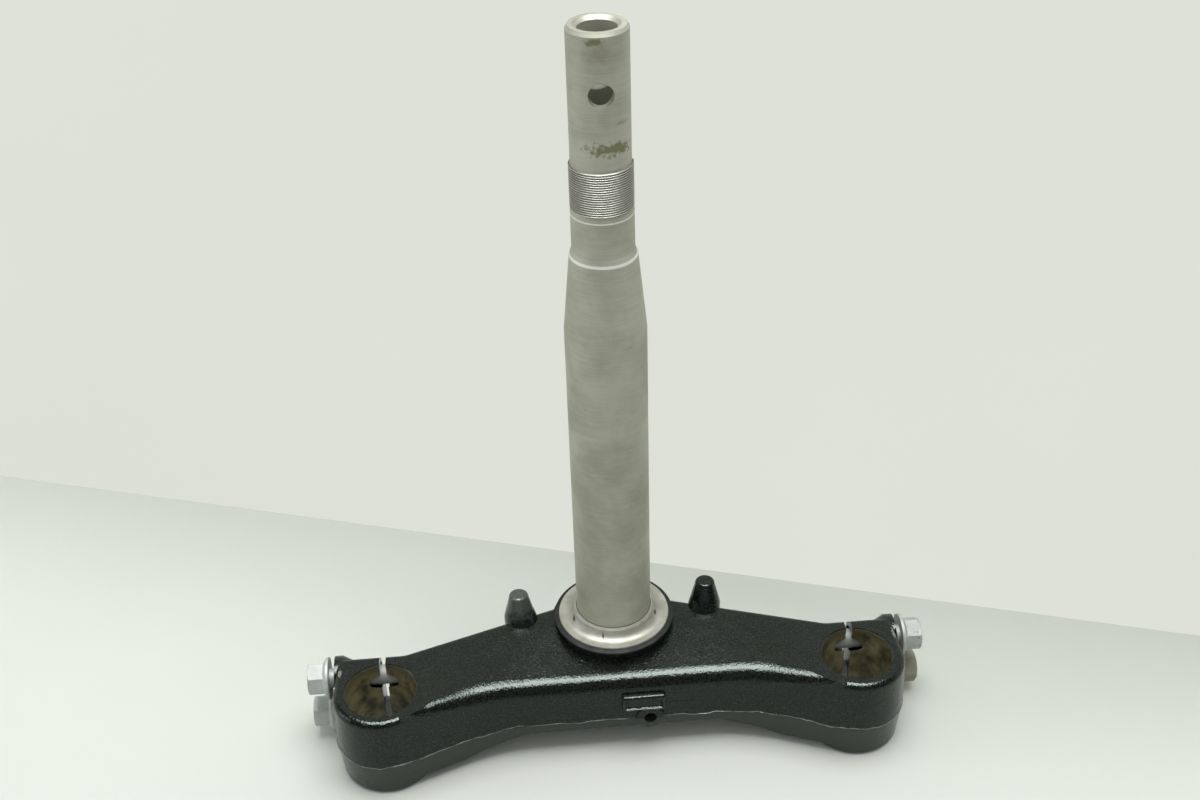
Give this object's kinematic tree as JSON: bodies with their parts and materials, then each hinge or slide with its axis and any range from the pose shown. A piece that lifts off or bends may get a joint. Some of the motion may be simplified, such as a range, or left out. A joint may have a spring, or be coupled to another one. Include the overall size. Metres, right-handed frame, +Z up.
{
  "type": "motorcycle lower triple clamp",
  "caption": "Black forged bottom fork yoke with split clamps, flange pinch bolts, stop pegs, a pressed-in tapered steering stem, lower bearing race and dust seal.",
  "frame": {"origin": "steering axis at the flat underside of the yoke's hub", "axes": "+Z up along the steering stem, -Y to the front of the machine, +X across the fork legs to the right as seen from the front"},
  "size_m": [0.2926, 0.0908, 0.3406],
  "materials": {
    "black_paint": "semi-gloss black paint on a forged surface",
    "turned_steel": "fine turned, slightly stained",
    "ground_steel": "ground and polished",
    "dark_rubber": "dull moulded rubber",
    "zinc_plate": "bright zinc plating, lightly tarnished"
  },
  "bodies": {
    "root": {"lower_yoke": "black_paint", "steering_stem": "turned_steel", "dust_seal": "dark_rubber", "lower_bearing_race": "ground_steel", "left_upper_pinch_bolt": "zinc_plate", "left_lower_pinch_bolt": "zinc_plate", "right_upper_pinch_bolt": "zinc_plate", "right_lower_pinch_bolt": "zinc_plate"}
  },
  "joints": []
}
